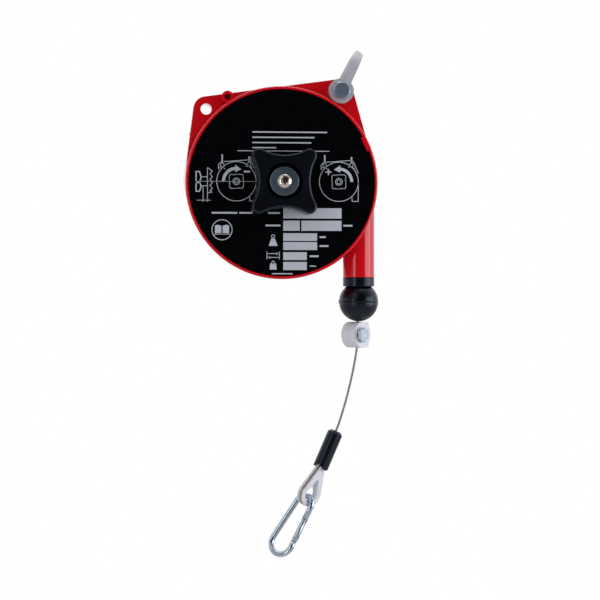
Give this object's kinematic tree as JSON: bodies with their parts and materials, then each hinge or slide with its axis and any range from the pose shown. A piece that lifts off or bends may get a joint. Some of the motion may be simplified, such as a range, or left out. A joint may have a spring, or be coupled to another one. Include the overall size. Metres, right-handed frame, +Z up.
{
  "type": "tool balancer",
  "caption": "Spring balancer: round two-shell housing with a spring drum, a swinging top shackle, a tension knob, and a wire rope with a rubber stop ball and a snap hook for a hand tool.",
  "frame": {"origin": "inner seat of the suspension shackle, the point that rests on the overhead hook", "axes": "+Z up through the hanging balancer, +X to the right seen from the front, and the label and knob face -Y"},
  "size_m": [0.1235, 0.0562, 0.3213],
  "materials": {
    "red_nylon": "glossy glass-filled nylon, moulded in red",
    "black_nylon": "moulded black nylon with a slight sheen",
    "drum_nylon": "natural glass-filled nylon",
    "white_nylon": "natural white nylon",
    "label_film": "satin black printed film",
    "zinc_steel": "bright zinc plate",
    "cast_alloy": "pressure-cast alloy, tumbled",
    "soft_alloy": "pressed",
    "spring_steel": "oiled, blue-grey",
    "bronze": "sintered",
    "stainless_rope": "stranded stainless wire",
    "black_rubber": "moulded rubber, satin"
  },
  "bodies": {
    "housing": {"front_cover": "red_nylon", "back_shell": "red_nylon", "front_label": "label_film", "assembly_screws": "zinc_steel", "outlet_bush": "black_nylon"},
    "shackle": {"shackle": "cast_alloy", "shackle_bolt": "zinc_steel", "shackle_nut": "zinc_steel"},
    "arbor": {"arbor": "black_nylon", "retaining_washer": "zinc_steel", "centre_screw": "zinc_steel"},
    "knob": {"knob": "black_nylon", "knob_spring": "spring_steel"},
    "drum": {"drum": "drum_nylon", "drum_cover": "drum_nylon", "drum_screws": "zinc_steel", "drum_bush": "bronze", "wound_rope": "stainless_rope", "rope_anchor": "zinc_steel", "power_spring": "spring_steel"},
    "load": {"inner_rope": "stainless_rope", "rope_stem": "stainless_rope", "buffer_ball": "black_rubber", "clamp_front": "white_nylon", "clamp_back": "white_nylon", "clamp_screw": "zinc_steel", "clamp_nut": "zinc_steel", "rope": "stainless_rope", "ferrule": "soft_alloy", "ferrule_sleeve": "black_nylon", "rope_eye": "stainless_rope", "thimble": "white_nylon"},
    "hook": {"hook_frame": "zinc_steel", "gate_rivet": "zinc_steel"},
    "gate": {"gate": "zinc_steel", "gate_spring": "spring_steel"}
  },
  "joints": [
    {"name": "shackle_swing", "type": "hinge", "parent": "housing", "child": "shackle", "pos_m": [-0.01055, 0, -0.02134], "axis": [0, 1, 0], "range_deg": [-85, 100]},
    {"name": "arbor_turn", "type": "hinge", "parent": "housing", "child": "arbor", "pos_m": [-0.04869, 0, -0.07985], "axis": [0, 1, 0], "continuous": true},
    {"name": "knob_pull", "type": "slide", "parent": "arbor", "child": "knob", "axis": [0, -1, 0], "range_m": [0, 0.006], "stiffness_N_per_m": 833, "springref_m": -0.006, "deforming": ["knob_spring"]},
    {"name": "rope_payout", "type": "slide", "parent": "housing", "child": "load", "axis": [0, 0, -1], "range_m": [0, 1.6], "stiffness_N_per_m": 3.75, "springref_m": -3.2, "deforming": ["inner_rope"]},
    {"name": "drum_spin", "type": "hinge", "parent": "housing", "child": "drum", "pos_m": [-0.04869, 0, -0.07985], "axis": [0, 1, 0], "range_deg": [0, 1820], "deforming": ["power_spring"]},
    {"name": "hook_swing", "type": "hinge", "parent": "load", "child": "hook", "pos_m": [-0.02981, 0, -0.27631], "axis": [-0.5902, 0.766, 0.2546], "range_deg": [-40, 40]},
    {"name": "gate_open", "type": "hinge", "parent": "hook", "child": "gate", "pos_m": [-0.03911, -0.0044, -0.30407], "axis": [-0.5332, -0.788, 0.3078], "range_deg": [0, 35], "stiffness_Nm_per_rad": 0.05, "springref_deg": -20.05, "deforming": ["gate_spring"]}
  ],
  "couplings": [
    {"joint": "drum_spin", "follows": "rope_payout", "rad_per_m": 19.802}
  ]
}
